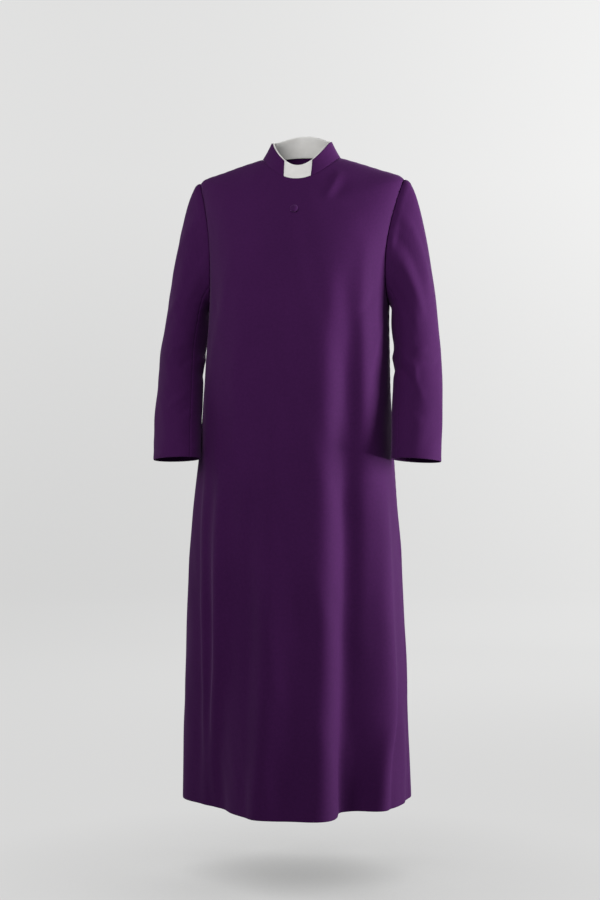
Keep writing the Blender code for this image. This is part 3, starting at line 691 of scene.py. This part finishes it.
def twillMaterial(name, values):
    material, tree, shader = newMaterial(name)
    place = addNode(tree, "ShaderNodeTexCoord")
    turn = (0.0, 0.0, math.radians(values["twillTurn"]))
    turned = addNode(tree, "ShaderNodeMapping", {"Vector": place["UV"], "Rotation": turn})["Vector"]
    lines = weaveLines(tree, turned, values["twillStep"], "X", *values["twillDrift"])
    stretch = {"Vector": place["UV"], "Scale": values["yarnStretch"]}
    yarn = noise(tree, addNode(tree, "ShaderNodeMapping", stretch)["Vector"], *values["yarn"])
    melange = noise(tree, place["UV"], *values["melange"])  # the grain seen from further away
    shares = values["shares"]
    broad = calculate(tree, "MULTIPLY", noise(tree, place["Object"], *values["broad"]), shares["broad"])
    tone = calculate(tree, "MULTIPLY_ADD", melange, shares["melange"], broad)
    tone = calculate(tree, "MULTIPLY_ADD", lines, shares["lines"], tone)
    clothSurface(tree, shader, values, tone, yarn,
                 calculate(tree, "MULTIPLY_ADD", lines, shares["relief"], yarn))
    setInputs(shader, {"Sheen Weight": values["sheen"], "Sheen Roughness": values["sheenRoughness"],
                       "Sheen Tint": values["sheenTint"], "Specular IOR Level": values["specular"]})
    return material


bandFinish = {
    "tones": ((0.25, (0.74, 0.735, 0.715, 1.0)), (0.75, (0.83, 0.825, 0.805, 1.0))),
    "weaveStep": 0.0007, "weaveDrift": (0.3, 2.0, 1.0), "cloud": (60.0, 3.0),
    "roughness": (0.42, 0.55), "bump": 0.25, "bumpDepth": 0.00006,
}


def bandMaterial(name, values):
    material, tree, shader = newMaterial(name)
    place = addNode(tree, "ShaderNodeTexCoord")
    weave = [weaveLines(tree, place["UV"], values["weaveStep"], way, *values["weaveDrift"]) for way in "XY"]
    cloud = noise(tree, place["Object"], *values["cloud"])
    clothSurface(tree, shader, values, cloud, cloud, calculate(tree, "MULTIPLY", *weave))
    return material


purpleTwill = twillMaterial("purpleTwill", twillFinish)
whiteBand = bandMaterial("whiteBand", bandFinish)
buttonCloth = twillMaterial("buttonCloth", dict(twillFinish, twillStep=0.0009, sheen=0.35))
print("finishes made")


def joinFrame(piece, node):
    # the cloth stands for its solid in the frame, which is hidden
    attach(piece, "root")
    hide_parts(node)


# Body panels

frontPanel = {"columns": 118, "thickness": 0.0013, "hem": 0.040, "hemFactor": 1.7, "flat": (0.85, 1.60),
              "area": 1.00}
underPanel = dict(frontPanel, columns=56, thickness=0.0012, hemFactor=1.4, flat=(0.50, 1.60), area=0.61,
                  rowScale=0.6, setBack=0.0030, part=17.0 / 28.0)  # its share of the front's width
backPanel = dict(frontPanel, columns=60, flat=(0.43, 1.60), area=0.49)
frontEdges = ((0.0, -1.0), (0.0, 1.0))
bodyPanels = {
    # name: node, cut, edges, seed
    "frontPanel": ("front", frontPanel, frontEdges, 1.0),
    "frontUnderlap": ("front_under", underPanel, frontEdges, 2.0),
    "backPanelLeft": ("back_left", backPanel, ((180.0, -1.0), (180.0, 0.0)), 3.0),
    "backPanelRight": ("back_right", backPanel, ((180.0, 0.0), (180.0, 1.0)), 4.0),
}

for name, (node, values, edges, seed) in bodyPanels.items():
    joinFrame(bodyPanel(name, values, edges, purpleTwill, seed), node)
print("body panels made")


# Sleeves, a top piece and an under piece each

topSleeve = {"columns": 56, "rowsBelow": 58, "rowsCap": 56, "thickness": 0.0013, "hem": 0.038,
             "hemFactor": 1.7, "headRise": 0.0014, "flat": (0.29, 0.70), "area": 0.165}
underSleeve = dict(topSleeve, columns=26, rowsCap=30, headRise=0.0, flat=(0.16, 0.51), area=0.054)
frontSeam, backSeam = sleeveCut["frontSeam"], sleeveCut["backSeam"]

for sideName, seed in (("left", 5), ("right", 9)):
    for kind, first, last, values in (("top", frontSeam, backSeam, topSleeve),
                                      ("under", backSeam, frontSeam + sleeveCut["columns"], underSleeve)):
        piece = sleevePanel(f"{sideName}Sleeve{kind.capitalize()}", sideName, first, last, values,
                            purpleTwill, seed)
        joinFrame(piece, f"sleeve_{kind}_{sideName}")
print("sleeves made")


# Standing collar and the white band inside it

collarCut = {
    "height": {"front": 0.030, "side": 0.036, "back": 0.044},
    "topRing": {"halfWidth": 0.0665, "front": 0.0680, "back": 0.0560},
    "hollow": 0.0008, "foot": -0.0002, "soft": 0.00035,  # its bow, its lower edge, its unevenness
    "notch": (20.2, 27.6),  # half angle of the gap in front, at the seam and at the top
    "wall": 0.0024, "edge": 0.0007, "columns": 180, "rows": 12, "flat": (0.485, 0.058), "area": 0.0226,
}
bandCut = {"setIn": 0.0033, "rim": 0.0030, "foot": 0.0010, "wall": 0.0010, "edge": 0.00035,
           "columns": 180, "rows": 12, "flat": (0.52, 0.050), "area": 0.0188}
collarCloth = (0.07, 0.036)  # the radius and height by which the weave lies on both


def collarPoint(angle, share, extra):
    turn = np.radians(angle)
    side, ahead = np.sin(turn), np.cos(turn)
    seam = bodyPoint(angle, np.full_like(angle, neckRun))
    heights, topRing = collarCut["height"], collarCut["topRing"]
    endHeight = np.where(ahead > 0.0, heights["front"], heights["back"])
    endDepth = np.where(ahead > 0.0, topRing["front"], topRing["back"])
    height = heights["side"] + (endHeight - heights["side"]) * ahead * ahead
    top = np.stack((topRing["halfWidth"] * side, -endDepth * ahead, seam[..., 2] + height), -1)
    way = top - seam
    bow = -np.sin(math.pi * np.clip(share, 0.0, 1.0)) * collarCut["hollow"]
    flat = np.stack((side, -ahead, 0.0 * side), -1)
    rise = share + extra / np.linalg.norm(way, axis=-1)
    return seam + way * rise[..., None] + flat * bow[..., None]


def collarNormal(angle, share):
    none = np.zeros_like(share)
    across = collarPoint(angle + 0.5, share, none) - collarPoint(angle - 0.5, share, none)
    up = (collarPoint(angle, np.minimum(share + 0.05, 1.0), none)
          - collarPoint(angle, np.maximum(share - 0.05, 0.0), none))
    return unit(np.cross(across, up))


def clothPlace(angle, share):
    return np.stack((np.radians(angle) * collarCloth[0], share * collarCloth[1]), -1)


def makeCollar():
    share = np.linspace(0.0, 1.0, collarCut["rows"])[:, None]
    notch = collarCut["notch"][0] + (collarCut["notch"][1] - collarCut["notch"][0]) * share
    angle = notch + (360.0 - 2.0 * notch) * np.linspace(0.0, 1.0, collarCut["columns"])[None, :]
    share = np.broadcast_to(share, angle.shape).copy()
    outer = collarPoint(angle, share, collarCut["foot"] * (1.0 - share))
    normal = collarNormal(angle, share)
    soft = unevenness(np.sin(np.radians(angle)) * 0.08, share * 0.04, 21, 0.05, collarCut["soft"])
    outer = outer + normal * (soft * np.sin(math.pi * share))[..., None]
    return gridObject("standingCollar", outer, clothPlace(angle, share), purpleTwill, collarCut["wall"],
                      bevel=collarCut["edge"])


def makeBand():
    share = np.linspace(0.0, 1.0, bandCut["rows"])[:, None]
    angle = np.linspace(0.0, 360.0, bandCut["columns"] + 1)[None, :] + 0.0 * share
    share = np.broadcast_to(share, angle.shape).copy()
    extra = bandCut["rim"] * share + bandCut["foot"] * (1.0 - share)
    outer = collarPoint(angle, share, extra) - collarNormal(angle, share) * bandCut["setIn"]
    return gridObject("collarBand", outer, clothPlace(angle, share), whiteBand, bandCut["wall"],
                      bevel=bandCut["edge"], closed=True)


collar = makeCollar()
band = makeBand()
joinFrame(collar, "collar")
joinFrame(band, "collar_insert")
print("collar made")


# The covered button and the worked edge of its buttonhole, which lies a little lower

buttonCut = {"radius": 0.0085, "drop": 0.126, "rim": 0.0020, "lift": 0.0016, "sides": 40,
             "crown": ((0.0018, 0.0013), (0.0026, 0.0009), (0.0022, 0.0003)),  # inset and rise
             "shank": ((0.0022, -0.0006), (0.0030, -0.0010)), "edge": 0.0004, "searchSteps": 2000}
holeCut = {"halfLength": 0.0118, "halfHeight": 0.0018, "thread": 0.0008, "lower": 0.0030, "lift": 0.0003}


def surfaceFrame(drop):
    runs = np.linspace(underarmRun, neckRun, buttonCut["searchSteps"])
    points = bodyPoint(np.zeros_like(runs), runs)
    run = runs[np.argmax(points[:, 2] > -drop)]
    angle = np.zeros(1)
    point, normal = bodyPoint(angle, run + angle)[0], bodyNormal(angle, run + angle)[0]
    offset = bodyCreaseOffset(angle, point[2] + angle)[0]
    return Vector(point + normal * offset), Vector(normal)


def selectFaces(piece, test):
    bpy.ops.mesh.select_all(action="DESELECT")
    bpy.ops.object.mode_set(mode="OBJECT")
    for face in piece.data.polygons:
        face.select = test(face)
    bpy.ops.object.mode_set(mode="EDIT")
    bpy.ops.mesh.select_mode(type="FACE")


def placeOnChest(piece, place, normal):
    # a piece made at the origin, facing up, is laid on the cloth and its place kept in its mesh
    across = Vector((1.0, 0.0, 0.0))
    up = normal.cross(across).normalized()
    across = up.cross(normal).normalized()
    turn = Matrix((across, up, normal)).transposed().to_4x4()
    piece.matrix_world = Matrix.Translation(place) @ turn
    bpy.ops.object.select_all(action="DESELECT")
    piece.select_set(True)
    bpy.context.view_layer.objects.active = piece
    bpy.ops.object.transform_apply(location=True, rotation=True, scale=True)
    bpy.ops.object.shade_smooth()
    piece.data.materials.clear()
    piece.data.materials.append(buttonCloth)
    return piece


def insetSteps(steps):
    for inset, rise in steps:
        bpy.ops.mesh.inset(thickness=inset, use_even_offset=False)
        bpy.ops.transform.translate(value=(0.0, 0.0, rise))


def makeButton(place, normal):
    bpy.ops.object.select_all(action="DESELECT")
    bpy.ops.mesh.primitive_cylinder_add(vertices=buttonCut["sides"], radius=buttonCut["radius"],
                                        depth=buttonCut["rim"], location=(0.0, 0.0, 0.0))
    piece = bpy.context.active_object
    piece.name = piece.data.name = "chestButton"
    bpy.ops.object.mode_set(mode="EDIT")
    selectFaces(piece, lambda face: face.normal.z > 0.9)
    insetSteps(buttonCut["crown"])  # padded under its cloth
    selectFaces(piece, lambda face: face.normal.z < -0.9)
    insetSteps(buttonCut["shank"])  # what the thread holds
    bpy.ops.object.mode_set(mode="OBJECT")
    applyModifier(piece, "edge", "BEVEL", width=buttonCut["edge"], segments=2, limit_method="ANGLE")
    applyModifier(piece, "round", "SUBSURF", levels=2, render_levels=2)
    return placeOnChest(piece, place + normal * (buttonCut["lift"] + buttonCut["rim"]), normal)


def makeButtonhole(place, normal):
    bpy.ops.object.select_all(action="DESELECT")
    bpy.ops.mesh.primitive_torus_add(major_radius=holeCut["halfLength"], minor_radius=holeCut["thread"],
                                     major_segments=96, minor_segments=10, location=(0.0, 0.0, 0.0))
    piece = bpy.context.active_object
    piece.name = piece.data.name = "buttonhole"
    bpy.ops.object.mode_set(mode="EDIT")
    bpy.ops.mesh.select_all(action="SELECT")
    bpy.ops.transform.resize(value=(1.0, holeCut["halfHeight"] / holeCut["halfLength"], 1.0))
    bpy.ops.object.mode_set(mode="OBJECT")
    lower = Vector((0.0, 0.0, holeCut["lower"]))
    return placeOnChest(piece, place + normal * holeCut["lift"] - lower, normal)


chestPlace, chestNormal = surfaceFrame(buttonCut["drop"])
button = makeButton(chestPlace, chestNormal)
buttonhole = makeButtonhole(chestPlace, chestNormal)
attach(button, "root")
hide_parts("button")
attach(buttonhole, "root")
print("button made")


# Studio: a pale floor that curves up into a pale wall all round, soft lights and the camera

studio = {
    "floor": -1.570, "floorRadius": 7.0, "cove": 2.2, "wallTop": 7.0, "sides": 96,
    "world": (0.97, 0.98, 1.0), "worldStrength": 0.25,
    "flatRings": (0.5, 1.0, 2.0, 4.0), "coveSteps": 12,
    # the floor and wall glows are emission, and brighter up and to the right they are painted light
    "floorTone": 0.06, "floorGlow": 0.62, "wallTone": 0.06, "wallGlow": (0.715, 0.815),
    # the shadow values set the painted shadow under the hem
    "glowSides": (0.90, 1.12), "shadowReach": 0.60, "shadowTone": 0.22, "shadowSamples": 16,
    "glowStart": 0.8, "glowFull": 5.5,  # metres out, from the floor's glow to the wall's
    "glowHeights": (-1.5, 1.3), "glowReach": 3.0,
    "cameraAzimuth": 8.0, "cameraDistance": 4.0, "cameraHeight": -0.64, "cameraSide": 0.0044,
    "lens": 72.727,
}


def makeStage():
    profile = [(distance, 0.0) for distance in studio["flatRings"]]
    for i in range(studio["coveSteps"] + 1):
        turn = math.pi / 2.0 * i / studio["coveSteps"]
        profile.append((studio["floorRadius"] + studio["cove"] * math.sin(turn),
                        studio["cove"] * (1.0 - math.cos(turn))))
    profile.append((studio["floorRadius"] + studio["cove"], studio["wallTop"]))
    sides = studio["sides"]
    turns = [2.0 * math.pi * i / sides for i in range(sides)]
    points = np.array([[(radius * math.cos(turn), radius * math.sin(turn), studio["floor"] + rise)
                        for turn in turns] for radius, rise in profile])
    index = gridIndex(points) + 1
    faces = [(0, 1 + i, 1 + (i + 1) % sides) for i in range(sides)]
    faces += gridFaces(np.concatenate((index, index[:, :1]), axis=1))[:, ::-1].tolist()
    mesh = bpy.data.meshes.new("studioDrum")
    mesh.from_pydata([(0.0, 0.0, studio["floor"])] + points.reshape(-1, 3).tolist(), [], faces)
    mesh.shade_smooth()
    drum = addObject("studioDrum", mesh)
    drum.visible_diffuse = drum.visible_glossy = False  # the lights alone light the cloth
    mesh.materials.append(studioMaterial())


def studioMaterial():
    material, tree, shader = newMaterial("paleStudio")
    place = addNode(tree, "ShaderNodeTexCoord")["Object"]
    parts = addNode(tree, "ShaderNodeSeparateXYZ", {"Vector": place})
    flatPlace = addNode(tree, "ShaderNodeVectorMath", {0: place, 1: (1.0, 1.0, 0.0)}, operation="MULTIPLY")
    distance = addNode(tree, "ShaderNodeVectorMath", {0: flatPlace["Vector"]}, operation="LENGTH")
    outwards = spreadOver(tree, distance["Value"], 0.0, 1.0, studio["glowStart"], studio["glowFull"],
                          "SMOOTHSTEP")
    floorTone, wallTone = studio["floorTone"], studio["wallTone"]
    tones = {"Color1": (floorTone, floorTone, floorTone * 1.01, 1.0),
             "Color2": (wallTone, wallTone, wallTone, 1.0)}
    tone = addNode(tree, "ShaderNodeMixRGB", {"Fac": outwards, **tones})
    # painted light: the wall glows, stronger higher up and to the right, as if lit from the upper right
    upwards = spreadOver(tree, parts["Z"], *studio["wallGlow"], *studio["glowHeights"])
    reach = studio["glowReach"]
    sideways = spreadOver(tree, parts["X"], *studio["glowSides"], -reach, reach, "SMOOTHSTEP")
    glow = spreadOver(tree, outwards, studio["floorGlow"], calculate(tree, "MULTIPLY", upwards, sideways))
    # a painted soft shadow under the hem: ambient occlusion darkens the floor's glow
    openness = addNode(tree, "ShaderNodeAmbientOcclusion", {"Distance": studio["shadowReach"]},
                       samples=studio["shadowSamples"])["AO"]
    strength = calculate(tree, "MULTIPLY", glow, spreadOver(tree, openness, studio["shadowTone"], 1.0))
    setInputs(shader, {"Base Color": tone["Color"], "Emission Strength": strength,
                       "Emission Color": (1.0, 1.0, 0.995, 1.0), "Roughness": 0.9,
                       "Specular IOR Level": 0.1})
    return material


softLights = {
    # name: place, aim, width, height, watts, spread in degrees
    "keyRight": ((4.50, 0.22, -0.45), (0.0, 0.0, 0.40), 1.6, 2.0, 112.0, 85.0),
    "fillFront": ((-0.4, -1.95, 0.48), (0.0, 0.0, -0.26), 1.2, 1.0, 27.0, 180.0),
    "rimLeft": ((-2.8, 0.6, 0.2), (0.0, 0.0, -0.70), 1.2, 1.8, 21.0, 180.0),
    "backSoft": ((0.4, 3.6, 0.8), (0.0, 0.0, -0.60), 2.4, 2.0, 60.0, 180.0),
}
lampColour = (1.0, 0.99, 0.98)


def makeLights():
    for name, (place, aim, width, height, watts, spread) in softLights.items():
        data = bpy.data.lights.new(name, "AREA")
        data.shape, data.size, data.size_y = "RECTANGLE", width, height
        data.energy, data.color, data.spread = watts, lampColour, math.radians(spread)
        lamp = addObject(name, data)
        lamp.location = place
        lamp.rotation_euler = (Vector(aim) - Vector(place)).to_track_quat("-Z", "Y").to_euler()
        lamp.visible_camera = False
    world = bpy.data.worlds.new("studioWorld")
    world.use_nodes = True
    background = world.node_tree.nodes["Background"]
    background.inputs["Color"].default_value = (*studio["world"], 1.0)
    background.inputs["Strength"].default_value = studio["worldStrength"]
    bpy.context.scene.world = world


def makeCamera():
    turn = math.radians(studio["cameraAzimuth"])
    back = Vector((math.sin(turn), -math.cos(turn), 0.0))
    right = Vector((math.cos(turn), math.sin(turn), 0.0))
    data = bpy.data.cameras.new("camera")
    data.lens, data.sensor_width = studio["lens"], 36.0
    data.clip_start, data.clip_end = 0.1, 60.0
    camera = addObject("camera", data)
    camera.location = (back * studio["cameraDistance"] + Vector((0.0, 0.0, studio["cameraHeight"]))
                       - right * studio["cameraSide"])
    camera.rotation_euler = (-back).to_track_quat("-Z", "Y").to_euler()
    bpy.context.scene.camera = camera


makeStage()
makeLights()
makeCamera()
bpy.context.scene.view_settings.view_transform = "Standard"
print("studio made")
